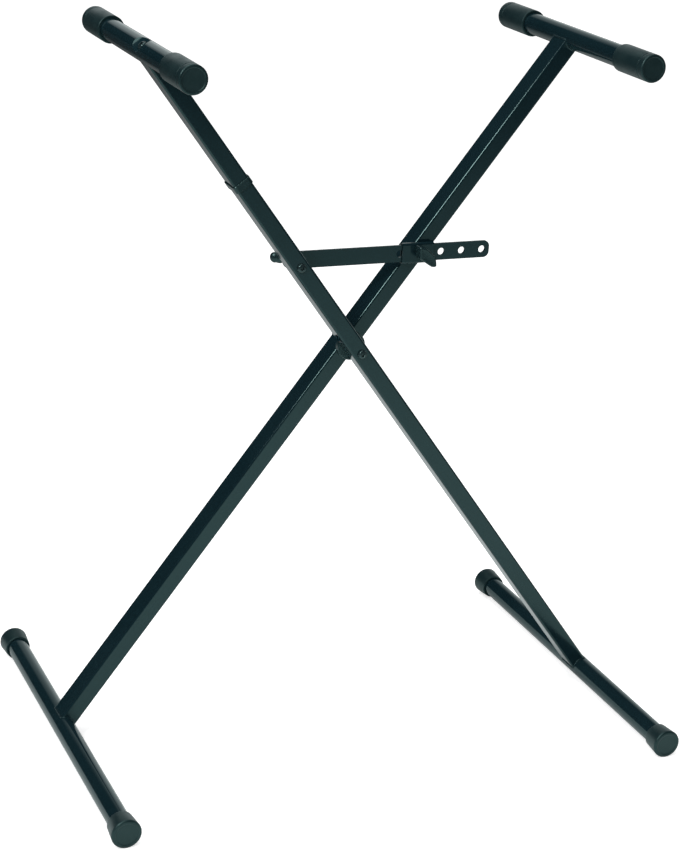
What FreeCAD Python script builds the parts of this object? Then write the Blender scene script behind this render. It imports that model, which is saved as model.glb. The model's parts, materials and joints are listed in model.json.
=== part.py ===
import FreeCAD, Part
import math
import os
from FreeCAD import Vector

# Folding keyboard stand: two steel legs crossed like scissors, each with a long round foot
# below and a round arm above.  A flat bar hinged on the front leg slides through a guide that
# swivels on the rear leg, and a sprung pin under a thumb grip drops into one of its holes.
#
# Millimetres.  +X runs from the front leg's arm to the rear leg's arm, +Y from front to back
# along the pivot bolt, +Z up.  The origin is on the floor, straight below the main pivot and
# half way along the feet.
#
# Each leg is drawn upright in its own frame, with the main pivot at its origin, and is then
# leaned over.  The bar, its guide and their hardware are drawn about their own pivots.

# ------------------------------------------------------------------ stance
brace_reach = 133.0          # main pivot to the bar's pivot, and to the guide's, along a leg
hole_in_use = 2              # the bar's hole that the pin stands at, counted from the front leg
first_hole = 133.4           # the bar's pivot to its first hole
hole_pitch = 26.0
hole_count = 5
leg_below_pivot = 556.0      # main pivot down to the foot's axis
leg_above_pivot = 433.0      # main pivot up to the arm's axis
leg_gap = 8.0                # clear space between the two legs

# ------------------------------------------------------------------ legs
leg_depth = 30.0             # along Y
leg_width = 20.0             # in the plane of the fold
leg_wall = 1.5
leg_corner = 2.5
least_corner = 0.4           # inside a bend
seam_height = 254.0          # main pivot up to the seam in the front leg
collar_length = 9.0
collar_proud = 1.3
collar_web = 2.0             # the collar's lip between the two tube ends
collar_edge = 0.5
spigot_length = 110.0
spigot_wall = 2.0
spigot_fit = 0.2
plug_length = 32.0           # threaded plug in the front leg's top end
plug_fit = 0.15
plug_setback = 1.0           # plug to the underside of the arm

# ------------------------------------------------------------------ feet
foot_length = 485.0          # over its two caps
foot_radius = 12.5
foot_wall = 1.5
cap_length = 25.0
cap_rim_radius = 15.0
cap_end_radius = 17.3
cap_floor = 3.0
cap_edge = 1.2
cap_rim_edge = 0.5
cap_tread = 0.8              # depth of the flat that the stand rests on
cap_fit = 0.1

# ------------------------------------------------------------------ arms
arm_length = 340.0           # over its two sleeves
arm_radius = 12.5
arm_wall = 1.5
sleeve_length = 63.0
sleeve_radius = 15.5
sleeve_floor = 3.5
sleeve_edge = 0.9
sleeve_rim_edge = 0.6
sleeve_fit = 0.1
groove_setback = 9.0         # ring groove back from the closed face
groove_width = 1.4
groove_depth = 0.6
face_dish_radius = 12.2
face_dish_depth = 0.5
saddle_depth = 5.3           # pressed into the top of the front leg's arm
saddle_radius = 24.0         # of the round die that presses it
screw_seat_fit = 0.4         # flat under the screw's head, beyond the head
weld_gap = 0.1               # coped leg end to the round tube

# ------------------------------------------------------------------ main pivot
bolt_radius = 3.0
bolt_fit = 0.1               # in a fixed hole, radial
turning_fit = 0.05           # in a hole that turns on it, radial
bolt_head_radius = 5.3
bolt_head_height = 3.3
bolt_head_edge = 2.0
bolt_socket_width = 4.0
bolt_socket_depth = 1.8
nut_width = 10.0
nut_height = 6.0             # its round collar included
nut_body_height = 4.3
nut_collar_radius = 4.4
washer_radius = 8.0
washer_thickness = 1.0
pivot_sleeve_radius = 4.2
crush_tube_wall = 1.8
crush_tube_fit = 0.1
spacer_radius = 17.0
spacer_edge = 1.0
running_gap = 0.3            # face to face, between pieces that turn on each other
thread_beyond_nut = 2.0

# ------------------------------------------------------------------ brace bar
bar_height = 20.0
bar_thickness = 3.0
bar_end = 9.6                # last hole to the end of the bar
bar_corner = 7.0
bar_edge = 0.3
lock_hole_radius = 4.3

# ------------------------------------------------------------------ guide and lock pin
guide_left = 23.5            # its rivet to its end nearer the bar's pivot
guide_right = 15.5           # and to its other end
guide_wall = 1.5
guide_slack = 0.5            # above and below the bar
guide_corner = 2.2
rivet_radius = 4.0
rivet_head_radius = 6.0
rivet_cone_height = 1.2
rivet_fit = 0.05
rivet_dome_radius = 6.5
rivet_dome_height = 3.0
rivet_dome_edge = 2.0
guide_washer_radius = 10.0
barrel_radius = 5.2
barrel_front_wall = 1.2
barrel_edge = 0.5
pin_radius = 4.0
pin_fit = 0.05
pin_head_length = 3.4
pin_point_edge = 0.8
pin_stem_radius = 2.5
pin_travel = 4.0
spring_wire = 0.6            # square wire, its side
spring_turns = 3
spring_slack = 0.25          # between its wire and the barrel's wall, and at each end

# ------------------------------------------------------------------ thumb grip
grip_gap = 0.5               # guide's front to the grip's back
grip_depth = 13.5
grip_crown = 3.6             # solid in front of the barrel
grip_slack = 0.3             # grip's bore round the barrel
grip_edge = 1.0
stem_grip_depth = 3.0
grip_outline = (             # its corners, X and Z from the pin, and the radius of each
    (-8.2, 10.8, 1.6),
    (1.0, 8.5, 10.0),
    (12.6, -1.9, 4.0),
    (14.6, -14.0, 2.2),
    (8.0, -13.4, 4.0),
    (-7.3, -3.3, 2.0),
)

# ------------------------------------------------------------------ winged nut
hub_radius = 8.5
hub_edge = 1.2
hub_height = 15.5
wing_thickness = 11.5
wing_edge = 2.8
wing_reach = 12.4            # hub's axis to the centre of the wing's round tip
wing_rise = 15.6             # the same, up from the hub's seat
wing_tip_radius = 5.2
wing_root_low = 3.0          # where its two sides start, up from the hub's seat
wing_root_high = 14.0
wing_root_reach = 4.25       # and out from the hub's axis
nut_turn = 5.0               # degrees that its left wing stands below the bar's line
insert_width = 10.0
insert_length = 8.0
insert_fit = 0.05

# ------------------------------------------------------------------ what follows from them
FRONT = -1
BACK = 1
weld = 0.01                  # overlap between two forms that are fused
X_AXIS = Vector(1, 0, 0)
Y_AXIS = Vector(0, 1, 0)
Z_AXIS = Vector(0, 0, 1)
ORIGIN = Vector(0, 0, 0)

brace_span = first_hole + (hole_in_use - 1) * hole_pitch
half_angle = math.degrees(math.asin(brace_span / (2 * brace_reach)))
lean_x = math.sin(math.radians(half_angle))
lean_z = math.cos(math.radians(half_angle))

pivot_height = leg_below_pivot * lean_z + cap_end_radius - cap_tread
brace_height = pivot_height + brace_reach * lean_z
brace_pivot = Vector(-brace_reach * lean_x, 0, brace_height)
guide_pivot = Vector(brace_reach * lean_x, 0, brace_height)

front_face = -leg_gap / 2 - leg_depth        # the front leg's front face
front_inner = -leg_gap / 2                   # its face towards the rear leg
rear_inner = leg_gap / 2
rear_face = leg_gap / 2 + leg_depth
front_mid = (front_face + front_inner) / 2
rear_mid = (rear_inner + rear_face) / 2

bar_front = front_inner + washer_thickness + running_gap
bar_back = bar_front + bar_thickness
guide_front = bar_front - running_gap - guide_wall
guide_back = bar_back + running_gap + guide_wall
guide_outer_height = bar_height + 2 * (guide_slack + guide_wall)
guide_washer_thickness = rear_inner - running_gap - guide_back
pin_tip = bar_front - running_gap
pin_shoulder = pin_tip - pin_head_length
spring_packed = (spring_turns + 1) * spring_wire + 2 * spring_slack
spring_room = spring_packed + pin_travel
barrel_front = pin_shoulder - spring_room - barrel_front_wall
grip_back = guide_front - grip_gap
grip_front = grip_back - grip_depth
sleeve_outer_face = arm_length / 2
foot_outer_face = foot_length / 2


# ------------------------------------------------------------------ plain forms
def box(x0, x1, y0, y1, z0, z1):
    return Part.makeBox(x1 - x0, y1 - y0, z1 - z0, Vector(x0, y0, z0))


def rod(radius, y0, y1, x=0.0, z=0.0):
    """A round bar along Y."""
    return Part.makeCylinder(radius, y1 - y0, Vector(x, y0, z), Y_AXIS)


def ring(outer, inner, y0, y1, x=0.0, z=0.0):
    return rod(outer, y0, y1, x, z).cut(rod(inner, y0 - 1, y1 + 1, x, z))


def upright(radius, z0, z1, y=0.0):
    """A round bar along Z."""
    return Part.makeCylinder(radius, z1 - z0, Vector(0, y, z0), Z_AXIS)


def edges_along(shape, axis):
    """The straight edges that run along an axis."""
    found = []
    for edge in shape.Edges:
        if edge.Curve.TypeId == "Part::GeomLine":
            run = edge.Vertexes[-1].Point - edge.Vertexes[0].Point
            if abs(run.normalize().dot(axis)) > 0.999:
                found.append(edge)
    return found


def circles_at(shape, y, radius):
    """The round edges about a Y axis that lie at a height y and have a radius."""
    found = []
    for edge in shape.Edges:
        curve = edge.Curve
        if curve.TypeId != "Part::GeomCircle":
            continue
        if abs(curve.Center.y - y) < 0.001 and abs(curve.Radius - radius) < 0.001:
            found.append(edge)
    return found


def hexagon(width, y0, y1, x=0.0, z=0.0):
    """A six-sided bar along Y, by its width across the flats."""
    points = []
    for k in range(7):
        turn = math.radians(30 + 60 * k)
        reach = width / math.sqrt(3)
        points.append(Vector(x + reach * math.cos(turn), y0, z + reach * math.sin(turn)))
    return Part.Face(Part.makePolygon(points)).extrude(Vector(0, y1 - y0, 0))


def section_bar(width, depth, corner, z0, z1, y_mid):
    """An upright bar of rounded rectangular section."""
    bar = box(-width / 2, width / 2, y_mid - depth / 2, y_mid + depth / 2, z0, z1)
    return bar.makeFillet(corner, edges_along(bar, Z_AXIS))


def leg_outside(z0, z1, y_mid, grow=0.0):
    return section_bar(leg_width + 2 * grow, leg_depth + 2 * grow, leg_corner + grow, z0, z1, y_mid)


def leg_inside(z0, z1, y_mid, shrink=0.0):
    inset = leg_wall + shrink
    corner = max(leg_corner - inset, least_corner)
    return section_bar(leg_width - 2 * inset, leg_depth - 2 * inset, corner, z0, z1, y_mid)


def leg_tube(z0, z1, y_mid):
    return leg_outside(z0, z1, y_mid).cut(leg_inside(z0 - 1, z1 + 1, y_mid))


def lean(shape, side):
    """Put a piece drawn in a leg's own frame where that leg stands: FRONT or BACK."""
    placed = shape.copy()
    placed.rotate(ORIGIN, Y_AXIS, side * half_angle)
    placed.translate(Vector(0, 0, pivot_height))
    return placed


def at(shape, pivot, turn=0.0):
    """Put a piece drawn about its own Y axis at a pivot, after a turn in degrees."""
    placed = shape.copy()
    placed.rotate(ORIGIN, Y_AXIS, turn)
    placed.translate(pivot)
    return placed


# ------------------------------------------------------------------ legs
def cope(tube):
    """Cut the ends of a leg to sit on the round foot and the round arm."""
    foot = rod(foot_radius + weld_gap, front_face - 5, rear_face + 5, 0, -leg_below_pivot)
    arm = rod(arm_radius + weld_gap, front_face - 5, rear_face + 5, 0, leg_above_pivot)
    return tube.cut(foot).cut(arm)


def rear_leg_tube():
    tube = cope(leg_tube(-leg_below_pivot, leg_above_pivot, rear_mid))
    tube = tube.cut(rod(pivot_sleeve_radius + bolt_fit, rear_inner - 1, rear_face + 1))
    return tube.cut(rod(rivet_radius + bolt_fit, rear_inner - 1, rear_face + 1, 0, brace_reach))


def front_leg_lower_tube():
    tube = cope(leg_tube(-leg_below_pivot, seam_height - collar_web / 2, front_mid))
    tube = tube.cut(rod(pivot_sleeve_radius + turning_fit, front_face - 1, front_inner + 1))
    return tube.cut(rod(bolt_radius + bolt_fit, front_face - 1, front_inner + 1, 0, brace_reach))


def front_leg_upper_tube():
    return cope(leg_tube(seam_height + collar_web / 2, leg_above_pivot, front_mid))


def front_leg_spigot():
    low = seam_height - spigot_length / 2
    high = seam_height + spigot_length / 2
    outside = leg_inside(low, high, front_mid, spigot_fit)
    return outside.cut(leg_inside(low - 1, high + 1, front_mid, spigot_fit + spigot_wall))


def front_leg_collar():
    low = seam_height - collar_length / 2
    high = seam_height + collar_length / 2
    band = leg_outside(low, high, front_mid, collar_proud)
    rims = [edge for edge in band.Edges if abs(edge.BoundBox.ZLength) < 0.001]
    band = band.makeChamfer(collar_edge, rims)
    for z0, z1 in ((low - 1, seam_height - collar_web / 2), (seam_height + collar_web / 2, high + 1)):
        band = band.cut(leg_outside(z0, z1, front_mid, cap_fit))
    return band.cut(leg_inside(low - 1, high + 1, front_mid))


def crush_tube(bore, y_mid, z):
    """Steel tube between a leg's two walls, so that a bolt can't squeeze them together."""
    reach = leg_depth / 2 - leg_wall - crush_tube_fit
    return ring(bore + crush_tube_wall, bore, y_mid - reach, y_mid + reach, 0, z)


def front_leg_crush_tubes():
    at_pivot = crush_tube(pivot_sleeve_radius + turning_fit, front_mid, 0)
    at_brace = crush_tube(bolt_radius + bolt_fit, front_mid, brace_reach)
    return Part.makeCompound([at_pivot, at_brace])


def rear_leg_crush_tubes():
    at_pivot = crush_tube(pivot_sleeve_radius + bolt_fit, rear_mid, 0)
    at_guide = crush_tube(rivet_radius + bolt_fit, rear_mid, brace_reach)
    return Part.makeCompound([at_pivot, at_guide])


def front_leg_plug():
    top = leg_above_pivot - arm_radius - plug_setback
    plug = leg_inside(top - plug_length, top, front_mid, plug_fit)
    return plug.cut(upright(bolt_radius + turning_fit, top - plug_length - 1, top + 1, front_mid))


# ------------------------------------------------------------------ feet and arms
def foot_tube():
    reach = foot_outer_face - cap_floor
    return ring(foot_radius, foot_radius - foot_wall, -reach, reach, 0, -leg_below_pivot)


def foot_cap(side):
    """A flared cup, drawn with its closed end at the far end of its own +Y."""
    start = foot_outer_face - cap_length
    cup = Part.makeCone(cap_rim_radius, cap_end_radius, cap_length, Vector(0, start, 0), Y_AXIS)
    cup = cup.makeChamfer(cap_edge, circles_at(cup, foot_outer_face, cap_end_radius))
    cup = cup.makeChamfer(cap_rim_edge, circles_at(cup, start, cap_rim_radius))
    cup = cup.cut(rod(foot_radius + cap_fit, start - 1, foot_outer_face - cap_floor))
    if side == FRONT:
        cup.rotate(ORIGIN, Z_AXIS, 180)
    cup.translate(Vector(0, 0, -leg_below_pivot))
    return cup


def tread(cap):
    """Flatten the underside of a cap that already stands in its place."""
    around = 2 * (foot_length + leg_below_pivot)
    return cap.cut(box(-around, around, -around, around, -around, 0))


def arm_tube():
    reach = sleeve_outer_face - sleeve_floor
    return ring(arm_radius, arm_radius - arm_wall, -reach, reach, 0, leg_above_pivot)


def saddle_die(grow):
    """The round die that presses the saddle, and, grown by the wall, the metal under it."""
    radius = saddle_radius + grow
    height = leg_above_pivot + arm_radius - saddle_depth + saddle_radius
    start = Vector(-arm_radius - 1, front_mid, height)
    return Part.makeCylinder(radius, 2 * (arm_radius + 1), start, X_AXIS)


def front_arm_tube():
    """The front leg's arm, pressed in on top where its screw clamps it to the leg."""
    reach = sleeve_outer_face - sleeve_floor
    outside = rod(arm_radius, -reach, reach, 0, leg_above_pivot).cut(saddle_die(0))
    bore = rod(arm_radius - arm_wall, -reach - 1, reach + 1, 0, leg_above_pivot)
    tube = outside.cut(bore.cut(saddle_die(arm_wall)))
    low = leg_above_pivot - arm_radius - 1
    seat = leg_above_pivot + arm_radius - saddle_depth
    high = leg_above_pivot + arm_radius + 1
    tube = tube.cut(upright(bolt_head_radius + screw_seat_fit, seat, high, front_mid))
    return tube.cut(upright(bolt_radius + bolt_fit, low, high, front_mid))


def arm_sleeve(side):
    """A long rubber cup, drawn with its closed end at the far end of its own +Y."""
    start = sleeve_outer_face - sleeve_length
    cup = rod(sleeve_radius, start, sleeve_outer_face)
    cup = cup.makeChamfer(sleeve_edge, circles_at(cup, sleeve_outer_face, sleeve_radius))
    cup = cup.makeChamfer(sleeve_rim_edge, circles_at(cup, start, sleeve_radius))
    cup = cup.cut(rod(arm_radius + sleeve_fit, start - 1, sleeve_outer_face - sleeve_floor))
    groove_end = sleeve_outer_face - groove_setback
    floor_radius = sleeve_radius - groove_depth
    cup = cup.cut(ring(sleeve_radius + 1, floor_radius, groove_end - groove_width, groove_end))
    cup = cup.cut(rod(face_dish_radius, sleeve_outer_face - face_dish_depth, sleeve_outer_face + 1))
    if side == FRONT:
        cup.rotate(ORIGIN, Z_AXIS, 180)
    cup.translate(Vector(0, 0, leg_above_pivot))
    return cup


# ------------------------------------------------------------------ fasteners
def button_bolt(length):
    """A button-head bolt along +Y, its head in front of y = 0 and its end at y = length."""
    head = rod(bolt_head_radius, -bolt_head_height, 0)
    rim = circles_at(head, -bolt_head_height, bolt_head_radius)
    head = head.makeChamfer(bolt_head_edge, rim)
    socket = hexagon(bolt_socket_width, -bolt_head_height - 1, bolt_socket_depth - bolt_head_height)
    return head.cut(socket).fuse(rod(bolt_radius, -weld, length)).removeSplitter()


def lock_nut(y0):
    """A hexagon nut with a round collar behind it, bored to turn on the bolt's thread."""
    body = hexagon(nut_width, y0, y0 + nut_body_height)
    crown = rod(nut_collar_radius, y0 + nut_body_height - weld, y0 + nut_height)
    nut = body.fuse(crown).removeSplitter()
    return nut.cut(rod(bolt_radius + turning_fit, y0 - 1, y0 + nut_height + 1))


def washer(outer, hole, y0, thickness):
    return ring(outer, hole, y0, y0 + thickness)


def pivot_bolt():
    under_head = front_face - running_gap
    length = rear_face + washer_thickness + nut_height + thread_beyond_nut - under_head
    bolt = button_bolt(length)
    bolt.translate(Vector(0, under_head, 0))
    return bolt


def pivot_sleeve():
    start = front_face - running_gap
    return ring(pivot_sleeve_radius, bolt_radius + bolt_fit, start, rear_face)


def pivot_spacer():
    """The round disc that holds the legs apart."""
    start = front_inner + running_gap
    disc = rod(spacer_radius, start, rear_inner)
    rims = circles_at(disc, start, spacer_radius) + circles_at(disc, rear_inner, spacer_radius)
    bore = rod(pivot_sleeve_radius + bolt_fit, -leg_gap, leg_gap)
    return disc.makeChamfer(spacer_edge, rims).cut(bore)


def pivot_washer():
    return washer(washer_radius, bolt_radius + bolt_fit, rear_face, washer_thickness)


def pivot_nut():
    return lock_nut(rear_face + washer_thickness)


def brace_bolt():
    length = bar_back + running_gap + washer_thickness + running_gap + hub_height - front_face
    bolt = button_bolt(length + thread_beyond_nut)
    bolt.translate(Vector(0, front_face, 0))
    return bolt


def brace_washers():
    hole = bolt_radius + bolt_fit
    before = washer(washer_radius, hole, front_inner, washer_thickness)
    behind = washer(washer_radius, hole, bar_back + running_gap, washer_thickness)
    return Part.makeCompound([before, behind])


def arm_screw():
    """The button-head screw that holds the front arm down, head up, along the leg."""
    seat = leg_above_pivot + arm_radius - saddle_depth
    end = leg_above_pivot - arm_radius - plug_setback - plug_length
    screw = button_bolt(seat - end)
    screw.rotate(ORIGIN, X_AXIS, -90)
    screw.translate(Vector(0, front_mid, seat))
    return screw


# ------------------------------------------------------------------ brace bar
def brace_bar():
    """Flat bar with a round end about its pivot, a row of holes and a blunt far end."""
    far = first_hole + (hole_count - 1) * hole_pitch + bar_end
    half = bar_height / 2
    bar = box(0, far, bar_front, bar_back, -half, half)
    corners = [edge for edge in edges_along(bar, Y_AXIS) if edge.BoundBox.Center.x > far / 2]
    bar = bar.makeFillet(bar_corner, corners)
    bar = bar.fuse(rod(half, bar_front, bar_back)).removeSplitter()
    outline = [edge for edge in bar.Edges if edge.BoundBox.YLength < 0.001]
    bar = bar.makeChamfer(bar_edge, outline)
    bar = bar.cut(rod(bolt_radius + turning_fit, bar_front - 1, bar_back + 1))
    for k in range(hole_count):
        bar = bar.cut(rod(lock_hole_radius, bar_front - 1, bar_back + 1, first_hole + k * hole_pitch))
    return bar


# ------------------------------------------------------------------ guide and lock pin
def rivet_cone(clearance):
    """The countersunk head of the guide's rivet, or, widened by a clearance, its seat."""
    wide = rivet_head_radius + clearance
    narrow = rivet_radius + clearance
    front = bar_back + running_gap
    return Part.makeCone(wide, narrow, rivet_cone_height, Vector(0, front, 0), Y_AXIS)


def guide_rivet():
    """Countersunk inside the guide, and domed over behind the rear leg."""
    dome = rod(rivet_dome_radius, rear_face, rear_face + rivet_dome_height)
    rim = circles_at(dome, rear_face + rivet_dome_height, rivet_dome_radius)
    dome = dome.makeChamfer(rivet_dome_edge, rim)
    shank = rod(rivet_radius, bar_back + running_gap, rear_face + weld)
    return rivet_cone(0).fuse(shank).fuse(dome).removeSplitter()


def latch_guide():
    """Sheet steel folded round the bar, with the pin's hole in front and the rivet's behind."""
    outer = guide_outer_height / 2
    inner = outer - guide_wall
    left = -guide_left
    right = guide_right
    shell = box(left, right, guide_front, guide_back, -outer, outer)
    shell = shell.makeFillet(guide_corner, edges_along(shell, X_AXIS))
    room = box(left - 1, right + 1, guide_front + guide_wall, guide_back - guide_wall, -inner, inner)
    room_corner = max(guide_corner - guide_wall, least_corner)
    shell = shell.cut(room.makeFillet(room_corner, edges_along(room, X_AXIS)))
    shell = shell.cut(rod(pin_radius + pin_fit, guide_front - 1, bar_front))
    shell = shell.cut(rod(rivet_radius + rivet_fit, bar_back, guide_back + 1))
    return shell.cut(rivet_cone(2 * rivet_fit))


def guide_washer():
    start = rear_inner - guide_washer_thickness
    return washer(guide_washer_radius, rivet_radius + bolt_fit, start, guide_washer_thickness)


def latch_barrel():
    """The tube on the guide's front that carries the pin and its spring."""
    barrel = rod(barrel_radius, barrel_front, guide_front)
    barrel = barrel.makeChamfer(barrel_edge, circles_at(barrel, barrel_front, barrel_radius))
    barrel = barrel.cut(rod(pin_radius + pin_fit, barrel_front + barrel_front_wall, guide_front + 1))
    return barrel.cut(rod(pin_stem_radius + pin_fit, barrel_front - 1, guide_front))


def lock_pin():
    """The pin, stopped just short of the bar, and the stem that the grip pulls it by."""
    point = rod(pin_radius, pin_shoulder, pin_tip)
    point = point.makeChamfer(pin_point_edge, circles_at(point, pin_tip, pin_radius))
    stem_end = grip_front + grip_crown - stem_grip_depth
    return point.fuse(rod(pin_stem_radius, stem_end, pin_shoulder + weld)).removeSplitter()


def lock_spring():
    """An open coil of square wire round the stem."""
    half = spring_wire / 2
    middle = pin_radius + pin_fit - spring_slack - half
    run = spring_room - 2 * spring_slack - spring_wire
    coil = Part.makeHelix(run / spring_turns, run, middle)
    corners = []
    for x, z in ((-half, -half), (half, -half), (half, half), (-half, half), (-half, -half)):
        corners.append(Vector(middle + x, 0, z))
    wire = Part.Wire(coil).makePipeShell([Part.makePolygon(corners)], True, True)
    wire.rotate(ORIGIN, X_AXIS, -90)
    wire.translate(Vector(0, barrel_front + barrel_front_wall + spring_slack + half, 0))
    return wire


# ------------------------------------------------------------------ winged nut and thumb grip
def wing_outline():
    """One wing's face, from inside the hub out to its round tip, in the X-Y plane.

    Two straight sides leave the root and touch the tip's circle.  The hub's seat is at y = 0
    and the hub rises towards +Y.
    """
    low = Vector(wing_root_reach, wing_root_low, 0)
    high = Vector(wing_root_reach, wing_root_high, 0)
    centre = Vector(wing_reach, wing_rise, 0)

    def touch(point, side):
        away = centre - point
        bearing = math.atan2(away.y, away.x)
        opening = math.asin(wing_tip_radius / away.Length)
        reach = math.sqrt(away.Length ** 2 - wing_tip_radius ** 2)
        turn = bearing + side * opening
        return point + Vector(reach * math.cos(turn), reach * math.sin(turn), 0)

    low_touch = touch(low, -1)
    high_touch = touch(high, 1)
    out = (centre - (low + high) * 0.5).normalize() * wing_tip_radius
    tip = Part.Arc(low_touch, centre + out, high_touch).toShape()
    lower = Part.makeLine(low, low_touch)
    upper = Part.makeLine(high_touch, high)
    return Part.Face(Part.Wire([lower, tip, upper, Part.makeLine(high, low)]))


def wing():
    """One wing along +X, bevelled along its outline."""
    face = wing_outline()
    face.translate(Vector(0, 0, -wing_thickness / 2))
    blade = face.extrude(Vector(0, 0, wing_thickness))
    rims = []
    for edge in blade.Edges:
        flat = edge.BoundBox.ZLength < 0.001
        if flat and edge.BoundBox.XMax > wing_root_reach + 0.001:
            rims.append(edge)
    return blade.makeChamfer(wing_edge, rims)


def winged_hub():
    """A hub with two wings, its seat at y = 0, rising to +Y."""
    hub = rod(hub_radius, 0, hub_height)
    rims = circles_at(hub, hub_height, hub_radius)
    hub = hub.makeChamfer(hub_edge, rims)
    right = wing()
    left = wing()
    left.rotate(ORIGIN, Y_AXIS, 180)
    return hub.fuse([right, left])


def winged_nut_cap():
    """The winged moulding of the brace nut, with a pocket for its threaded insert."""
    pocket = hexagon(insert_width + 2 * insert_fit, -1, insert_length + insert_fit)
    cap = winged_hub().cut(pocket).cut(rod(bolt_radius + 2 * turning_fit, -1, hub_height + 1))
    cap.rotate(ORIGIN, Y_AXIS, -nut_turn)
    cap.translate(Vector(0, bar_back + 2 * running_gap + washer_thickness, 0))
    return cap


def winged_nut_insert():
    start = bar_back + 2 * running_gap + washer_thickness
    insert = hexagon(insert_width, start, start + insert_length)
    insert = insert.cut(rod(bolt_radius + turning_fit, start - 1, start + insert_length + 1))
    insert.rotate(ORIGIN, Y_AXIS, -nut_turn)
    return insert


def latch_grip():
    """A leaf-shaped thumb grip in front of the guide, bored to slide on the barrel."""
    corners = [Vector(x, grip_back, z) for x, z, radius in grip_outline]
    block = Part.Face(Part.makePolygon(corners + corners[:1])).extrude(Vector(0, -grip_depth, 0))
    for x, z, radius in grip_outline:
        sharp = []
        for edge in edges_along(block, Y_AXIS):
            middle = edge.BoundBox.Center
            if abs(middle.x - x) < 0.001 and abs(middle.z - z) < 0.001:
                sharp.append(edge)
        block = block.makeFillet(radius, sharp)
    rims = [edge for edge in block.Edges if edge.BoundBox.YMax < grip_front + 0.001]
    block = block.makeChamfer(grip_edge, rims)
    ceiling = grip_front + grip_crown
    room = rod(barrel_radius + grip_slack, ceiling, grip_back + 1)
    stem = rod(pin_stem_radius + insert_fit, ceiling - stem_grip_depth - insert_fit, grip_back)
    return block.cut(room).cut(stem)


# ------------------------------------------------------------------ the whole stand
def build():
    return {
        "rear_leg_tube": lean(rear_leg_tube(), BACK),
        "rear_leg_crush_tubes": lean(rear_leg_crush_tubes(), BACK),
        "rear_foot_tube": lean(foot_tube(), BACK),
        "rear_foot_cap_front": tread(lean(foot_cap(FRONT), BACK)),
        "rear_foot_cap_back": tread(lean(foot_cap(BACK), BACK)),
        "rear_arm_tube": lean(arm_tube(), BACK),
        "rear_arm_sleeve_front": lean(arm_sleeve(FRONT), BACK),
        "rear_arm_sleeve_back": lean(arm_sleeve(BACK), BACK),
        "front_leg_lower_tube": lean(front_leg_lower_tube(), FRONT),
        "front_leg_upper_tube": lean(front_leg_upper_tube(), FRONT),
        "front_leg_spigot": lean(front_leg_spigot(), FRONT),
        "front_leg_collar": lean(front_leg_collar(), FRONT),
        "front_leg_crush_tubes": lean(front_leg_crush_tubes(), FRONT),
        "front_leg_plug": lean(front_leg_plug(), FRONT),
        "front_foot_tube": lean(foot_tube(), FRONT),
        "front_foot_cap_front": tread(lean(foot_cap(FRONT), FRONT)),
        "front_foot_cap_back": tread(lean(foot_cap(BACK), FRONT)),
        "front_arm_tube": lean(front_arm_tube(), FRONT),
        "front_arm_sleeve_front": lean(arm_sleeve(FRONT), FRONT),
        "front_arm_sleeve_back": lean(arm_sleeve(BACK), FRONT),
        "arm_screw": lean(arm_screw(), FRONT),
        "pivot_bolt": lean(pivot_bolt(), BACK),
        "pivot_sleeve": lean(pivot_sleeve(), BACK),
        "pivot_spacer": lean(pivot_spacer(), BACK),
        "pivot_washer": lean(pivot_washer(), BACK),
        "pivot_nut": lean(pivot_nut(), BACK),
        "brace_bolt": at(brace_bolt(), brace_pivot, -half_angle),
        "brace_washers": at(brace_washers(), brace_pivot),
        "brace_bar": at(brace_bar(), brace_pivot),
        "brace_nut_wings": at(winged_nut_cap(), brace_pivot),
        "brace_nut_insert": at(winged_nut_insert(), brace_pivot),
        "guide_rivet": at(guide_rivet(), guide_pivot),
        "guide_washer": at(guide_washer(), guide_pivot),
        "latch_guide": at(latch_guide(), guide_pivot),
        "latch_barrel": at(latch_barrel(), guide_pivot),
        "lock_pin": at(lock_pin(), guide_pivot),
        "lock_spring": at(lock_spring(), guide_pivot),
        "latch_grip": at(latch_grip(), guide_pivot),
    }


os.makedirs("parts", exist_ok=True)
for node, shape in build().items():
    shape.exportStep("parts/" + node + ".step")
    print(node, len(shape.Solids), round(shape.Volume, 1))
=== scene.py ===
import json
import math

import bmesh
import bpy
import numpy as np
from mathutils import Matrix, Vector


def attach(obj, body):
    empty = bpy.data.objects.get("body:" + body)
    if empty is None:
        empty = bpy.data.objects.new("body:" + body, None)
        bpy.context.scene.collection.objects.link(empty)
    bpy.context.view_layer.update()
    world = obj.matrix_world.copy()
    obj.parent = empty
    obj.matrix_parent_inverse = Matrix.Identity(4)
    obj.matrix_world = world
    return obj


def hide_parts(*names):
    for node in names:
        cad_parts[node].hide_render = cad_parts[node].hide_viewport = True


# Folding keyboard stand: black enamelled steel legs, rubber caps and sleeves, a moulded thumb
# grip and a winged nut.  Metres, in the frame of the solids: +X towards the rear leg's arm,
# +Y from front to back, +Z up, with the origin on the floor under the main pivot.

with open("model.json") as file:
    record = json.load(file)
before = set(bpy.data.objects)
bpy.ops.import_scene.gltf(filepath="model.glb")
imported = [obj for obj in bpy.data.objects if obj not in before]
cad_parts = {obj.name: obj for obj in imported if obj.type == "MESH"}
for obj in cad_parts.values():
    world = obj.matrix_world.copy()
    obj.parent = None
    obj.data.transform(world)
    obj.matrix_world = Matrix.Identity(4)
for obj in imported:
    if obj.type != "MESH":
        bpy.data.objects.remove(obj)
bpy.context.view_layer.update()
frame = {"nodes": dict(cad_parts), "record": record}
nodes = frame["nodes"]

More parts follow.
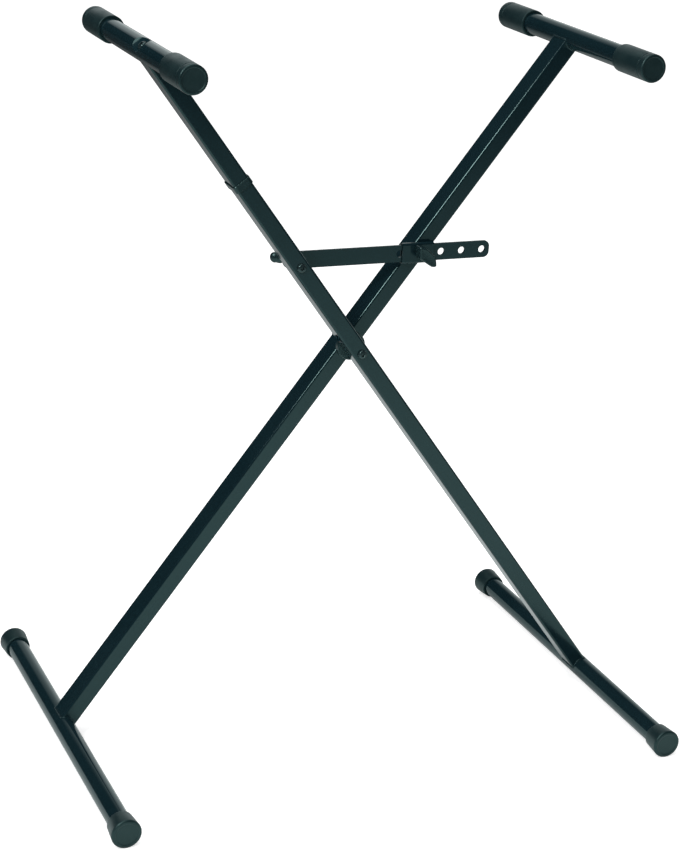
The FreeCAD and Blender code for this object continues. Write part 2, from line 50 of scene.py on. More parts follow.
# ------------------------------------------------------------------ sizes shared with the solids
MM = 0.001
HALF_ANGLE = math.radians(36.81606718660991)
PIVOT_HEIGHT = 0.461613227
BRACE_X = 0.0797
BRACE_Z = 0.568088154
LEG_BELOW = 0.556
LEG_ABOVE = 0.433
LEG_DEPTH = 0.030
LEG_WIDTH = 0.020
LEG_CORNER = 0.0025
FRONT_MID = -0.019
REAR_MID = 0.019
TUBE_RADIUS = 0.0125
FOOT_END = 0.2425
ARM_END = 0.170
SADDLE_DEPTH = 0.0053
FRONT, BACK = -1, 1

# Sizes of the pieces drawn here, in millimetres.
FIT_RADIUS = 12.6
CAP_LENGTH, CAP_MOUTH_RADIUS, CAP_FLARE_RADIUS, CAP_WALL = 25.0, 15.0, 17.3, 3.0
SLEEVE_LENGTH, SLEEVE_RADIUS, SLEEVE_WALL = 63.0, 15.5, 3.5
GROOVE_FROM_END, GROOVE_DEPTH, GROOVE_WIDTH = 9.0, 0.6, 1.4
HEAD_RADIUS, HEAD_HEIGHT, SHANK_RADIUS, THREAD_ROOT = 5.3, 3.3, 3.0, 2.45
SOCKET_ACROSS, SOCKET_FLOOR = 4.0, -1.5
GRIP_CEILING, GRIP_BORE, PIN_STEM, PIN_STEM_LENGTH = 3.6, 5.5, 2.55, 3.0
GRIP_RIM, GRIP_BACK_RIM, GRIP_DISH = 1.5, 0.5, 0.3
WING_THICKNESS, WING_PLUMPNESS, WING_TIP = 11.5, 4.6, (12.4, 15.5, 5.2)
HUB_RADIUS, HUB_HEIGHT, HUB_HOLE, POCKET_HALF, POCKET_DEPTH = 8.5, 15.5, 3.1, 5.05, 8.05
BEAD_RADIUS, BEAD_SWELL, BEAD_PITCH = 1.05, 0.12, 1.5


# ------------------------------------------------------------------ surfaces
def mesh_object(name, points, faces, smooth_angle=40.0):
    """An object from an array of points and an array of faces, its doubled points merged."""
    mesh = bpy.data.meshes.new(name)
    mesh.from_pydata(points.tolist(), [], faces.tolist())
    shape = bmesh.new()
    shape.from_mesh(mesh)
    bmesh.ops.remove_doubles(shape, verts=shape.verts, dist=1e-7)
    bmesh.ops.dissolve_degenerate(shape, edges=shape.edges, dist=1e-8)
    bmesh.ops.recalc_face_normals(shape, faces=shape.faces)
    shape.to_mesh(mesh)
    shape.free()
    mesh.validate()
    mesh.shade_smooth()
    mesh.set_sharp_from_angle(angle=math.radians(smooth_angle))
    piece = bpy.data.objects.new(name, mesh)
    bpy.context.scene.collection.objects.link(piece)
    return piece


def grid_faces(rows, columns, wrap_rows=False):
    """Four-sided faces over a grid of points numbered row by row, closed along each row."""
    i = np.arange(rows if wrap_rows else rows - 1)[:, None]
    j = np.arange(columns)[None, :]
    below, beside = (i + 1) % rows, (j + 1) % columns
    corners = [i * columns + j, i * columns + beside, below * columns + beside, below * columns + j]
    return np.stack([np.broadcast_to(c, (i.size, j.size)) for c in corners], -1).reshape(-1, 4)


def rounded_line(corners, radii, steps=6):
    """A line through corners, each rounded by its own radius.

    At a corner P between unit directions a and b, the arc starts at P - t a and ends at P + t b,
    with t = r tan(half the turn), and follows the circle that touches both.
    """
    corners = np.asarray(corners, float)
    line = [corners[:1]]
    for k in range(1, len(corners) - 1):
        a = corners[k] - corners[k - 1]
        b = corners[k + 1] - corners[k]
        a, b = a / np.linalg.norm(a), b / np.linalg.norm(b)
        turn = math.acos(float(np.clip(a @ b, -1, 1)))
        if radii[k] <= 0 or turn < 1e-4:
            line.append(corners[k:k + 1])
            continue
        reach = radii[k] * math.tan(turn / 2)
        start = corners[k] - a * reach
        inward = b - (a @ b) * a
        inward /= np.linalg.norm(inward)
        bend = np.linspace(0, turn, steps + 1)[:, None]
        line.append(start + radii[k] * (np.sin(bend) * a + (1 - np.cos(bend)) * inward))
    line.append(corners[-1:])
    return np.vstack(line)


def turned(profile, segments=72):
    """A turned form about the Y axis: (r, y) of the profile at angle t is (r cos t, y, r sin t)."""
    t = np.linspace(0, 2 * math.pi, segments, endpoint=False)[None, :]
    r, y = profile[:, :1], profile[:, 1:]
    points = np.stack([r * np.cos(t), y + 0 * t, r * np.sin(t)], -1)
    return points.reshape(-1, 3), grid_faces(len(profile), segments)


def leaned(points, side):
    """From a leg's own upright frame to where that leg stands: turned about Y, then lifted."""
    c, s = math.cos(side * HALF_ANGLE), math.sin(side * HALF_ANGLE)
    x, y, z = points[..., 0], points[..., 1], points[..., 2]
    return np.stack([x * c + z * s, y, z * c - x * s + PIVOT_HEIGHT], -1)


def turned_about_y(points, degrees):
    c, s = math.cos(math.radians(degrees)), math.sin(math.radians(degrees))
    x, y, z = points[..., 0], points[..., 1], points[..., 2]
    return np.stack([x * c + z * s, y, z * c - x * s], -1)


def dress(piece, body, material):
    piece.data.materials.clear()
    piece.data.materials.append(material)
    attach(piece, body)


# ------------------------------------------------------------------ finishes
def new_group(name, inputs, outputs):
    """A node group with named sockets: each is (name, kind, default)."""
    group = bpy.data.node_groups.new(name, "ShaderNodeTree")
    for label, kind, value in inputs:
        socket = group.interface.new_socket(label, in_out="INPUT", socket_type=kind)
        socket.default_value = value
    for label, kind in outputs:
        group.interface.new_socket(label, in_out="OUTPUT", socket_type=kind)
    entry = group.nodes.new("NodeGroupInput")
    leave = group.nodes.new("NodeGroupOutput")
    return group, entry, leave


def noise_node(tree, place, scale, detail, roughness=0.5):
    node = tree.nodes.new("ShaderNodeTexNoise")
    node.inputs["Detail"].default_value = detail
    node.inputs["Roughness"].default_value = roughness
    tree.links.new(place, node.inputs["Vector"])
    tree.links.new(scale, node.inputs["Scale"])
    return node


def make_tone_group():
    """Two colours drifting into each other over the surface, and a roughness that drifts with them."""
    group, entry, leave = new_group(
        "Drifting tone",
        [("Deep", "NodeSocketColor", (0, 0, 0, 1)), ("Pale", "NodeSocketColor", (1, 1, 1, 1)),
         ("Scale", "NodeSocketFloat", 20.0), ("Low Roughness", "NodeSocketFloat", 0.2),
         ("High Roughness", "NodeSocketFloat", 0.4)],
        [("Color", "NodeSocketColor"), ("Roughness", "NodeSocketFloat")])
    place = group.nodes.new("ShaderNodeTexCoord").outputs["Object"]
    noise = noise_node(group, place, entry.outputs["Scale"], 4.0, 0.6)
    spread = group.nodes.new("ShaderNodeMapRange")
    spread.inputs["From Min"].default_value = 0.35
    spread.inputs["From Max"].default_value = 0.65
    group.links.new(noise.outputs["Fac"], spread.inputs["Value"])
    mix = group.nodes.new("ShaderNodeMix")
    mix.data_type = "RGBA"
    group.links.new(spread.outputs["Result"], mix.inputs["Factor"])
    group.links.new(entry.outputs["Deep"], mix.inputs[6])
    group.links.new(entry.outputs["Pale"], mix.inputs[7])
    group.links.new(mix.outputs[2], leave.inputs["Color"])
    rough = group.nodes.new("ShaderNodeMapRange")
    group.links.new(spread.outputs["Result"], rough.inputs["Value"])
    group.links.new(entry.outputs["Low Roughness"], rough.inputs["To Min"])
    group.links.new(entry.outputs["High Roughness"], rough.inputs["To Max"])
    group.links.new(rough.outputs["Result"], leave.inputs["Roughness"])
    return group


def make_grain_group():
    """Fine pits and ripples of a coated or moulded surface, as a normal."""
    group, entry, leave = new_group(
        "Fine grain",
        [("Scale", "NodeSocketFloat", 900.0), ("Depth", "NodeSocketFloat", 0.00002),
         ("Ripple Scale", "NodeSocketFloat", 220.0), ("Ripple Share", "NodeSocketFloat", 0.5)],
        [("Normal", "NodeSocketVector")])
    place = group.nodes.new("ShaderNodeTexCoord").outputs["Object"]
    fine = noise_node(group, place, entry.outputs["Scale"], 2.0)
    ripple = noise_node(group, place, entry.outputs["Ripple Scale"], 1.0)
    mix = group.nodes.new("ShaderNodeMix")
    group.links.new(entry.outputs["Ripple Share"], mix.inputs["Factor"])
    group.links.new(fine.outputs["Fac"], mix.inputs[2])
    group.links.new(ripple.outputs["Fac"], mix.inputs[3])
    bump = group.nodes.new("ShaderNodeBump")
    bump.inputs["Strength"].default_value = 1.0
    group.links.new(entry.outputs["Depth"], bump.inputs["Distance"])
    group.links.new(mix.outputs[0], bump.inputs["Height"])
    group.links.new(bump.outputs["Normal"], leave.inputs["Normal"])
    return group


TONE = make_tone_group()
GRAIN = make_grain_group()


def finish_material(name, deep, pale, tone_scale, rough, grain_scale, grain_depth, ripple,
                    ripple_share, metallic=0.0, specular=0.5, tint=(1, 1, 1)):
    """A finish between two colours and two roughnesses, with a grain and a longer ripple."""
    material = bpy.data.materials.new(name)
    material.use_nodes = True
    tree = material.node_tree
    shader = tree.nodes["Principled BSDF"]
    shader.inputs["Metallic"].default_value = metallic
    shader.inputs["Specular IOR Level"].default_value = specular
    shader.inputs["Specular Tint"].default_value = (*tint, 1)
    tone = tree.nodes.new("ShaderNodeGroup")
    tone.node_tree = TONE
    tone.inputs["Deep"].default_value = (*deep, 1)
    tone.inputs["Pale"].default_value = (*pale, 1)
    tone.inputs["Scale"].default_value = tone_scale
    tone.inputs["Low Roughness"].default_value = rough[0]
    tone.inputs["High Roughness"].default_value = rough[1]
    grain = tree.nodes.new("ShaderNodeGroup")
    grain.node_tree = GRAIN
    grain.inputs["Scale"].default_value = grain_scale
    grain.inputs["Depth"].default_value = grain_depth
    grain.inputs["Ripple Scale"].default_value = ripple
    grain.inputs["Ripple Share"].default_value = ripple_share
    tree.links.new(tone.outputs["Color"], shader.inputs["Base Color"])
    tree.links.new(tone.outputs["Roughness"], shader.inputs["Roughness"])
    tree.links.new(grain.outputs["Normal"], shader.inputs["Normal"])
    return material


SEA_TINT = (0.60, 1.0, 0.95)
enamel = finish_material("gloss black enamel", (0.0046, 0.0142, 0.0184), (0.0060, 0.0170, 0.0216), 9.0,
                         (0.09, 0.14), 1500.0, 0.000003, 160.0, 0.85, specular=0.52, tint=SEA_TINT)
rubber = finish_material("moulded rubber", (0.0058, 0.0160, 0.0188), (0.0085, 0.0205, 0.0232), 60.0,
                         (0.33, 0.43), 3200.0, 0.00004, 600.0, 0.3, specular=0.5, tint=SEA_TINT)
plastic = finish_material("matte moulded plastic", (0.0062, 0.0165, 0.0195), (0.0090, 0.0212, 0.0242),
                          90.0, (0.22, 0.30), 2600.0, 0.00004, 500.0, 0.35, specular=0.5, tint=SEA_TINT)
blackened = finish_material("blackened steel", (0.0080, 0.0160, 0.0185), (0.0170, 0.0270, 0.0300), 300.0,
                            (0.20, 0.30), 2400.0, 0.00002, 900.0, 0.4, specular=0.6, tint=SEA_TINT)
plated = finish_material("zinc plated steel", (0.42, 0.43, 0.44), (0.55, 0.56, 0.57), 240.0,
                         (0.26, 0.38), 2000.0, 0.00002, 700.0, 0.4, metallic=1.0)

FINISH = {"black_enamel": enamel, "black_rubber": rubber, "black_plastic": plastic,
          "blackened_steel": blackened, "plated_steel": plated}
SLOT_OF = {row["node"]: row["material_slot"] for row in frame["record"]["subparts"]}
BODY_OF = {n: body for body, members in frame["record"]["behaviour"]["bodies"].items() for n in members}
for label, node in nodes.items():
    node.data.materials.clear()
    node.data.materials.append(FINISH[SLOT_OF[label]])


def stand_in(piece, node):
    """Give a new piece the finish, slot and body of the solid that it stands for."""
    slot = SLOT_OF[node]
    dress(piece, BODY_OF[node], FINISH[slot])
    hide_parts(node)


# ------------------------------------------------------------------ foot caps and arm sleeves
def foot_cap(name, side, end):
    """A flared rubber cup, turned, with a soft lip, a rounded end and a shallow dished face.

    Its underside is flattened where it stands, by holding z at the floor or above.
    """
    out, start = FOOT_END / MM, FOOT_END / MM - CAP_LENGTH
    corners = [(0, out - 0.45), (12.4, out - 0.45), (13.0, out), (CAP_FLARE_RADIUS, out),
               (CAP_FLARE_RADIUS - 0.4, out - 4.0), (CAP_MOUTH_RADIUS, start), (FIT_RADIUS, start),
               (FIT_RADIUS, out - CAP_WALL), (0, out - CAP_WALL)]
    radii = [0, 0.5, 0.5, 2.4, 14.0, 0.8, 0.5, 0.5, 0]
    points, faces = turned(rounded_line(corners, radii) * MM, 96)
    points[:, 1] *= end
    points[:, 2] -= LEG_BELOW
    points = leaned(points, side)
    points[:, 2] = np.maximum(points[:, 2], 0.0)
    return mesh_object(name, points, faces)


def arm_sleeve(name, side, end):
    """A long rubber cup, turned, with a ring groove near its closed face and a dished face."""
    out, start = ARM_END / MM, ARM_END / MM - SLEEVE_LENGTH
    groove, sunk = out - GROOVE_FROM_END, SLEEVE_RADIUS - GROOVE_DEPTH
    corners = [(0, out - 0.5), (12.0, out - 0.5), (12.6, out), (SLEEVE_RADIUS, out),
               (SLEEVE_RADIUS, groove), (sunk, groove - 0.25), (sunk, groove - GROOVE_WIDTH + 0.25),
               (SLEEVE_RADIUS, groove - GROOVE_WIDTH), (SLEEVE_RADIUS, start), (FIT_RADIUS, start),
               (FIT_RADIUS, out - SLEEVE_WALL), (0, out - SLEEVE_WALL)]
    radii = [0, 0.5, 0.5, 1.7, 0.3, 0.2, 0.2, 0.3, 0.9, 0.4, 0.5, 0]
    points, faces = turned(rounded_line(corners, radii) * MM, 96)
    points[:, 1] *= end
    points[:, 2] += LEG_ABOVE
    return mesh_object(name, leaned(points, side), faces)


for leg, side in (("rear", BACK), ("front", FRONT)):
    for word, end in (("front", -1), ("back", 1)):
        stand_in(foot_cap(f"{leg}_foot_cap_{word}_skin", side, end), f"{leg}_foot_cap_{word}")
        stand_in(arm_sleeve(f"{leg}_arm_sleeve_{word}_skin", side, end), f"{leg}_arm_sleeve_{word}")


# ------------------------------------------------------------------ bolts
def button_bolt(length, thread_run=0.012, segments=60):
    """A button-head bolt along +Y with its seat at y = 0.

    Rows run from the socket's floor out over the dome, under the head and down the shank.  The
    socket's rows follow a hexagon, r = (w / 2) / cos(angle from the nearest flat's middle).  On
    the thread, r falls by a triangle wave of y / pitch + t / one turn.
    """
    t = np.linspace(0, 2 * math.pi, segments, endpoint=False)[None, :]
    flat = (SOCKET_ACROSS * MM / 2) / np.cos((t % (math.pi / 3)) - math.pi / 6)
    rows = [(0 * flat, SOCKET_FLOOR), (flat, SOCKET_FLOOR), (flat, 0.2 - HEAD_HEIGHT),
            (flat + 0.2 * MM, -HEAD_HEIGHT)]
    bend = np.linspace(0.0, math.pi / 2, 10)
    for b in bend[1:]:
        rows.append(((HEAD_RADIUS - 2.6 * (1 - math.sin(b))) * MM + 0 * t,
                     -0.5 - (HEAD_HEIGHT - 0.5) * math.cos(b)))
    rows += [(HEAD_RADIUS * MM + 0 * t, -0.1), ((HEAD_RADIUS - 0.1) * MM + 0 * t, 0.0),
             (SHANK_RADIUS * MM + 0 * t, 0.0)]
    plain = length / MM - thread_run / MM
    rows.append((SHANK_RADIUS * MM + 0 * t, plain))
    turns = np.arange(plain, length / MM - 0.6, 0.125)
    wave = np.abs(((turns[:, None] + t / (2 * math.pi)) % 1.0) * 2 - 1)
    share = np.clip(turns[:, None] - plain, 0, 1)
    rows += [((SHANK_RADIUS - 0.45 * share[k] * wave[k])[None, :] * MM, turns[k])
             for k in range(len(turns))]
    rows += [(THREAD_ROOT * MM + 0 * t, length / MM), (0 * t, length / MM)]
    r = np.vstack([row[0] for row in rows])
    y = np.array([row[1] for row in rows])[:, None] * MM + 0 * r
    points = np.stack([r * np.cos(t), y, r * np.sin(t)], -1)
    return points.reshape(-1, 3), grid_faces(len(rows), segments)


bolt_points, bolt_faces = button_bolt(0.0843)
stand_in(mesh_object("pivot_bolt_domed", turned_about_y(bolt_points, 12) + [0, -0.0343, PIVOT_HEIGHT],
                     bolt_faces), "pivot_bolt")
bolt_points, bolt_faces = button_bolt(0.0534)
stand_in(mesh_object("brace_bolt_domed", turned_about_y(bolt_points, 25) + [-BRACE_X, -0.034, BRACE_Z],
                     bolt_faces), "brace_bolt")
bolt_points, bolt_faces = button_bolt(0.0527)
upright = np.stack([bolt_points[:, 0], bolt_points[:, 2], -bolt_points[:, 1]], -1)
upright += [0, FRONT_MID, LEG_ABOVE + TUBE_RADIUS - SADDLE_DEPTH]
stand_in(mesh_object("arm_screw_domed", leaned(upright, FRONT), bolt_faces), "arm_screw")


# ------------------------------------------------------------------ thumb grip and winged nut
GRIP_BACK, GRIP_FRONT = -0.0050, -0.0185
GRIP_CORNERS = [(-8.2, 10.8, 1.6), (1.0, 8.5, 10.0), (12.6, -1.9, 4.0), (14.6, -14.0, 2.2),
                (8.0, -13.4, 4.0), (-7.3, -3.3, 2.0)]


def evened(line, count):
    """A closed line shared out again into points an equal way apart."""
    closed = np.vstack([line, line[:1]])
    along = np.concatenate([[0], np.cumsum(np.linalg.norm(np.diff(closed, axis=0), axis=1))])
    s = np.linspace(0, along[-1], count, endpoint=False)
    return np.stack([np.interp(s, along, closed[:, 0]), np.interp(s, along, closed[:, 1])], -1)


def outward_of(line):
    """The unit normals of a closed line that runs clockwise in the X-Z plane."""
    run = np.roll(line, -1, 0) - np.roll(line, 1, 0)
    run /= np.linalg.norm(run, axis=1, keepdims=True)
    return np.stack([-run[:, 1], run[:, 0]], -1)


def thumb_grip(count=160):
    """The leaf-shaped grip: its outline carried from back to front, with soft rims and its bore.

    A row's outline is drawn in along its normals by e (1 - sin b) while its depth moves by
    e (1 - cos b), for b from 0 to a quarter turn, so that the rim is an arc of radius e.  The
    front face sinks towards its middle by 0.3 mm (1 - u ** 2), u being the way out from there.
    """
    corners = np.array([c[:2] for c in GRIP_CORNERS])
    start = (corners[-1] + corners[0]) / 2
    line = rounded_line([start, *corners, start], [0] + [c[2] for c in GRIP_CORNERS] + [0], 10)[:-1]
    line = evened(line, count)
    out = outward_of(line)
    bearing = np.arctan2(line[:, 1], line[:, 0])
    round_line = np.stack([np.cos(bearing), np.sin(bearing)], -1)
    depth = (GRIP_BACK - GRIP_FRONT) / MM
    ceiling = depth - GRIP_CEILING
    stem_end = ceiling + PIN_STEM_LENGTH
    rows = [(0 * line, stem_end), (PIN_STEM * round_line, stem_end), (PIN_STEM * round_line, ceiling),
            (GRIP_BORE * round_line, ceiling), (GRIP_BORE * round_line, 0.3),
            ((GRIP_BORE + 0.3) * round_line, 0.0)]
    for b in np.linspace(0, math.pi / 2, 5):
        rows.append((line - out * GRIP_BACK_RIM * (1 - math.sin(b)),
                     GRIP_BACK_RIM * (1 - math.cos(b))))
    for b in np.linspace(math.pi / 2, 0, 9):
        rows.append((line - out * GRIP_RIM * (1 - math.sin(b)),
                     depth - GRIP_RIM * (1 - math.cos(b))))
    face = line - out * GRIP_RIM
    middle = np.array([2.5, -1.5])
    for u in np.linspace(1, 0, 12)[1:]:
        rows.append((middle + (face - middle) * u, depth - GRIP_DISH * (1 - u ** 2)))
    flat = np.stack([row[0] for row in rows])
    y = np.array([row[1] for row in rows])[:, None] + 0 * flat[..., 0]
    points = np.stack([flat[..., 0], -y, flat[..., 1]], -1) * MM
    points += [BRACE_X, GRIP_BACK, BRACE_Z]
    return points.reshape(-1, 3), grid_faces(len(rows), count)


stand_in(mesh_object("thumb_grip", *thumb_grip(), 50), "latch_grip")


def wing_line():
    """A wing's face, along X and up Y: a round tip drawn in to the hub along two slight curves."""
    bend = np.linspace(math.radians(-66), math.radians(122), 28)
    across, along, radius = WING_TIP
    tip = np.stack([across + radius * np.cos(bend), along + radius * np.sin(bend)], -1)
    u = np.linspace(0, 1, 14)[1:, None]
    low_root, high_root = np.array([6.6, 3.8]), np.array([6.6, 13.4])
    upper = (1 - u) * tip[-1] + u * high_root + (u * (1 - u)) * np.array([-0.4, -2.0])
    lower = (1 - u) * low_root + u * tip[0] + (u * (1 - u)) * np.array([1.6, -1.0])
    return np.vstack([tip, upper, low_root, lower[:-1]])


def wing(thickness, edge, count=96, rings=13):
    """One wing: its outline carried through its thickness, plump at the rims.

    At height h across the thickness, -1 to 1, the outline is drawn in towards its middle by
    edge (1 - sqrt(1 - h ** 2)).
    """
    line = evened(wing_line(), count)
    centre = line.mean(0)
    away = line - centre
    reach = np.linalg.norm(away, axis=1, keepdims=True)
    h = np.sin(np.linspace(-math.pi / 2, math.pi / 2, rings))[:, None, None]
    pull = edge * (1 - np.sqrt(np.maximum(1 - h ** 2, 0)))
    flat = centre + away[None] * (1 - pull / reach[None])
    grid = np.concatenate([flat, h * thickness / 2 + 0 * flat[..., :1]], -1)
    ends = [np.broadcast_to([*centre, side * thickness / 2], (1, count, 3)) for side in (-1, 1)]
    points = np.concatenate([ends[0], grid, ends[1]])
    return points.reshape(-1, 3), grid_faces(rings + 2, count)


def nut_hub(segments=72):
    """The nut's hub, turned, with a six-sided pocket for its insert and a hole for the bolt.

    Rows run from the hole out over the front, down the side and back in along the seat.  The
    pocket's rows follow r = (w / 2) / cos(angle from the nearest flat's middle).
    """
    t = np.linspace(0, 2 * math.pi, segments, endpoint=False)[None, :]
    pocket = POCKET_HALF / np.cos((t % (math.pi / 3)) - math.pi / 6)
    outside = rounded_line([(4.0, 0.0), (HUB_RADIUS, 0.0), (8.3, 9.0), (7.2, HUB_HEIGHT),
                            (HUB_HOLE + 0.3, HUB_HEIGHT), (HUB_HOLE, HUB_HEIGHT - 0.3)],
                           [0, 0.5, 20.0, 2.6, 0.3, 0], 8)
    rows = [(HUB_HOLE + 0 * t, POCKET_DEPTH), (pocket, POCKET_DEPTH), (pocket, 0.0)]
    rows += [(r + 0 * t, y) for r, y in outside[1:]]
    rows.append((HUB_HOLE + 0 * t, POCKET_DEPTH))
    r = np.vstack([row[0] for row in rows])
    y = np.array([row[1] for row in rows])[:, None] + 0 * r
    points = np.stack([r * np.cos(t), y, r * np.sin(t)], -1)
    return points.reshape(-1, 3), grid_faces(len(rows), segments)


def winged_nut():
    """The hub with a wing to its right and the same wing turned half round for its left."""
    hub, hub_faces = nut_hub()
    right, wing_faces = wing(WING_THICKNESS, WING_PLUMPNESS)
    left = right * [-1, 1, -1]
    points = np.vstack([hub, right, left]) * MM
    faces = np.vstack([hub_faces, wing_faces + len(hub), wing_faces + len(hub) + len(right)])
    return turned_about_y(points, -5) + [-BRACE_X, 0.0019, BRACE_Z], faces


stand_in(mesh_object("winged_nut", *winged_nut(), 50), "brace_nut_wings")


# ------------------------------------------------------------------ weld beads
def weld_bead(name, side, height, above, count=260):
    """A rippled bead where a leg meets its round tube.

    Its path goes round the leg's rounded section (x, y), at the height of the tube's surface,
    z = height + above * sqrt(R ** 2 - x ** 2).  A circle is carried along it, and its radius
    swells and sinks every 1.5 mm.
    """
    mid = REAR_MID if side == BACK else FRONT_MID
    a, b, c = LEG_WIDTH / 2, LEG_DEPTH / 2, LEG_CORNER
    corner = [(a, -b), (a, b), (-a, b), (-a, -b)]
    ring = rounded_line([(0, -b), *corner, (0, -b)], [0, c, c, c, c, 0], 8)[:-1]
    way_round = np.linalg.norm(np.roll(ring, -1, 0) - ring, axis=1).sum()
    x, y = evened(ring, count).T
    path = np.stack([x, y + mid, height + above * np.sqrt(TUBE_RADIUS ** 2 - x ** 2)], -1)
    tangent = np.roll(path, -1, 0) - np.roll(path, 1, 0)
    tangent /= np.linalg.norm(tangent, axis=1, keepdims=True)
    outward = np.cross(tangent, np.broadcast_to([0.0, 0.0, 1.0], tangent.shape))
    outward /= np.linalg.norm(outward, axis=1, keepdims=True)
    up = np.cross(outward, tangent)
    ripples = round(way_round / (BEAD_PITCH * MM))
    swell = np.cos(2 * math.pi * ripples * np.arange(count) / count)
    radius = BEAD_RADIUS * MM * (1 + BEAD_SWELL * swell)
    t = np.linspace(0, 2 * math.pi, 14, endpoint=False)
    circle = np.cos(t)[None, :, None] * outward[:, None] + np.sin(t)[None, :, None] * up[:, None]
    points = path[:, None] + radius[:, None, None] * circle
    faces = grid_faces(len(path), len(t), wrap_rows=True)
    return mesh_object(name, leaned(points.reshape(-1, 3), side), faces, 80)


for name, side, height, above, body in (
        ("rear_foot_weld", BACK, -LEG_BELOW, 1, "rear_leg"),
        ("front_foot_weld", FRONT, -LEG_BELOW, 1, "front_leg"),
        ("rear_arm_weld", BACK, LEG_ABOVE, -1, "rear_leg")):
    dress(weld_bead(name, side, height, above), body, enamel)


# ------------------------------------------------------------------ floor, light and camera
def wire_up(tree, kind, inputs, **settings):
    """A shader node with its settings; each input is a value or another node's output."""
    node = tree.nodes.new(kind)
    for label, value in settings.items():
        setattr(node, label, value)
    for key, value in inputs.items():
        if isinstance(value, bpy.types.NodeSocket):
            tree.links.new(value, node.inputs[key])
        else:
            node.inputs[key].default_value = value
    return node


def fade(tree, value, low, high, to_low, to_high):
    """A value carried from one range to another, held at both ends."""
    node = wire_up(tree, "ShaderNodeMapRange", {"Value": value, "From Min": low, "From Max": high,
                                                "To Min": to_low, "To Max": to_high})
    return node.outputs["Result"]


def times(tree, a, b):
    return wire_up(tree, "ShaderNodeMath", {0: a, 1: b}, operation="MULTIPLY").outputs[0]


def seen_plainly(tree):
    """One on rays from the camera and on rays that pass through something, nought on the rest."""
    path = tree.nodes.new("ShaderNodeLightPath")
    return wire_up(tree, "ShaderNodeMath", {0: path.outputs["Is Camera Ray"],
                                            1: path.outputs["Is Transmission Ray"]},
                   operation="MAXIMUM").outputs[0]


def floor_finish():
    """White paper: plain to the camera, and to all other rays a sheet that ends a few metres off."""
    material = bpy.data.materials.new("pale floor")
    material.use_nodes = True
    tree = material.node_tree
    tree.nodes.clear()
    place = tree.nodes.new("ShaderNodeTexCoord").outputs["Object"]
    centre = wire_up(tree, "ShaderNodeVectorMath", {0: place, 1: (0.2, -0.6, 0.0)}, operation="DISTANCE")
    sheet = fade(tree, centre.outputs["Value"], 0.3, 3.2, 0.95, 0.05)
    cool = wire_up(tree, "ShaderNodeVectorMath", {0: (0.93, 1.0, 1.0), "Scale": sheet}, operation="SCALE")
    far = wire_up(tree, "ShaderNodeBsdfDiffuse", {"Color": cool.outputs["Vector"]})
    near = wire_up(tree, "ShaderNodeBsdfDiffuse", {"Color": (0.80, 0.80, 0.80, 1)})
    glow = wire_up(tree, "ShaderNodeEmission", {"Strength": 0.62})
    plain = wire_up(tree, "ShaderNodeAddShader", {0: near.outputs[0], 1: glow.outputs[0]})
    mix = wire_up(tree, "ShaderNodeMixShader", {0: seen_plainly(tree), 1: far.outputs[0],
                                                2: plain.outputs[0]})
    wire_up(tree, "ShaderNodeOutputMaterial", {"Surface": mix.outputs[0]})
    return material


floor_mesh = bpy.data.meshes.new("floor")
floor_mesh.from_pydata([(-30, -30, 0), (30, -30, 0), (30, 30, 0), (-30, 30, 0)], [], [(0, 1, 2, 3)])
floor = bpy.data.objects.new("floor", floor_mesh)
bpy.context.scene.collection.objects.link(floor)
floor.location.z = -0.0004
floor_mesh.materials.append(floor_finish())


def make_world():
    """White to the camera, even light on the object, and in reflections a white wall behind it.

    The wall fills the right half of what lies behind, up to 30 degrees above level, and the rest
    of the room is dark.
    """
    world = bpy.data.worlds.new("studio")
    bpy.context.scene.world = world
    world.use_nodes = True
    tree = world.node_tree
    tree.nodes.clear()
    place = tree.nodes.new("ShaderNodeTexCoord").outputs["Generated"]
    split = wire_up(tree, "ShaderNodeSeparateXYZ", {0: place})
    right_half = fade(tree, split.outputs["X"], -0.10, 0.06, 0.0, 1.0)
    behind = fade(tree, split.outputs["Y"], -0.25, 0.15, 0.0, 1.0)
    height = fade(tree, split.outputs["Z"], 0.15, 0.60, 0.88, 0.25)
    top = fade(tree, split.outputs["Z"], 0.51, 0.57, 1.0, 0.0)
    wall = times(tree, times(tree, right_half, behind), times(tree, height, top))
    path = tree.nodes.new("ShaderNodeLightPath")
    mirrored = wire_up(tree, "ShaderNodeBackground", {"Color": (0.93, 1, 1, 1), "Strength": wall})
    shown = wire_up(tree, "ShaderNodeBackground", {"Color": (1, 1, 1, 1), "Strength": 1.0})
    lit = wire_up(tree, "ShaderNodeBackground", {"Color": (1, 1, 1, 1), "Strength": 0.55})
    glossy = wire_up(tree, "ShaderNodeMixShader", {0: path.outputs["Is Glossy Ray"], 1: lit.outputs[0],
                                                   2: mirrored.outputs[0]})
    mix = wire_up(tree, "ShaderNodeMixShader", {0: seen_plainly(tree), 1: glossy.outputs[0],
                                                2: shown.outputs[0]})
    wire_up(tree, "ShaderNodeOutputWorld", {"Surface": mix.outputs[0]})


make_world()


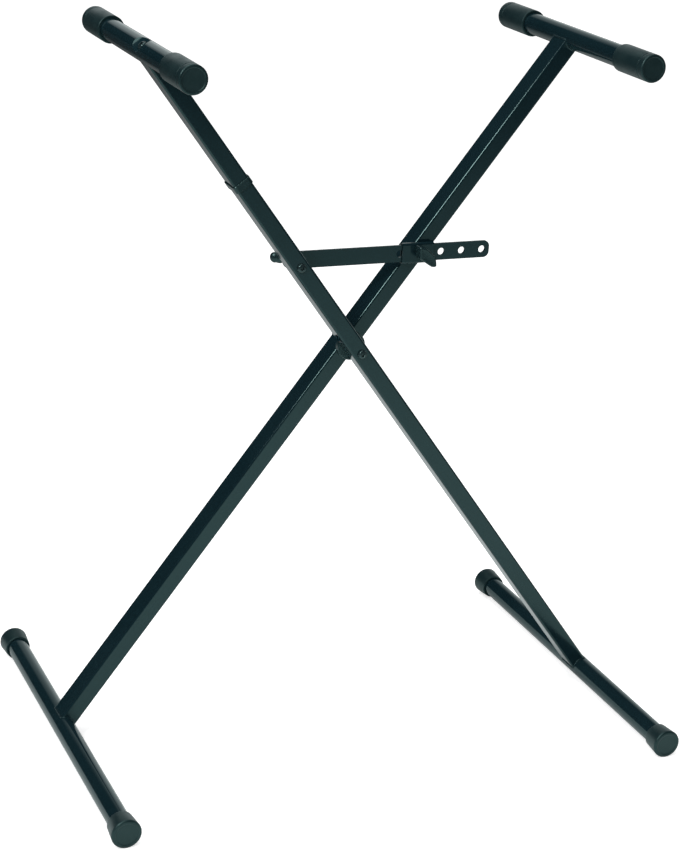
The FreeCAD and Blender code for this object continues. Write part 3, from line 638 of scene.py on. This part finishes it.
def softbox(name, place, aim, width, depth, watts):
    lamp = bpy.data.lights.new(name, "AREA")
    lamp.shape = "RECTANGLE"
    lamp.size, lamp.size_y, lamp.energy = width, depth, watts
    piece = bpy.data.objects.new(name, lamp)
    bpy.context.scene.collection.objects.link(piece)
    piece.location = place
    piece.rotation_euler = (Vector(aim) - Vector(place)).to_track_quat("-Z", "Y").to_euler()
    piece.visible_camera = False
    return piece


softbox("softbox_above", (-0.5, 0.4, 3.2), (0, 0, 0.4), 2.6, 1.6, 36)
softbox("softbox_left", (-1.95, -1.15, 2.25), (0, 0, 0.6), 0.8, 0.9, 40)
# Seen only in gloss, it draws the light line along the rear leg's edge.
shine = softbox("shine_left", (-2.05, -0.95, 2.35), (0, 0, 0.6), 0.8, 1.0, 17)
shine.data.color = (1.0, 0.80, 0.86)
shine.visible_diffuse = False

# The camera was fitted to the photograph's outline: turned 23.8 degrees to the left of straight
# ahead, 20.3 degrees above level and rolled 3.4 degrees.
LENS_IN_PIXELS, LONG_SIDE = 2082.5662, 851
EYE_DISTANCE = 2.4264383
AIM = Vector((-0.0071152, 0.0, PIVOT_HEIGHT - 0.0980519))
turn, rise, roll = math.radians(-23.8267), math.radians(20.3004), math.radians(3.3903)
towards = Vector((math.sin(turn) * math.cos(rise), -math.cos(turn) * math.cos(rise), math.sin(rise)))
level = (-towards).cross(Vector((0, 0, 1))).normalized()
steep = level.cross(-towards)
right = level * math.cos(roll) + steep * math.sin(roll)
up = steep * math.cos(roll) - level * math.sin(roll)
eye = AIM + towards * EYE_DISTANCE
lens = bpy.data.cameras.new("camera")
lens.lens = LENS_IN_PIXELS * lens.sensor_width / LONG_SIDE
lens.clip_end = 100
camera = bpy.data.objects.new("camera", lens)
bpy.context.scene.collection.objects.link(camera)
camera.matrix_world = Matrix((
    (right.x, up.x, towards.x, eye.x),
    (right.y, up.y, towards.y, eye.y),
    (right.z, up.z, towards.z, eye.z),
    (0, 0, 0, 1)))
bpy.context.scene.camera = camera
bpy.context.scene.view_settings.view_transform = "Standard"
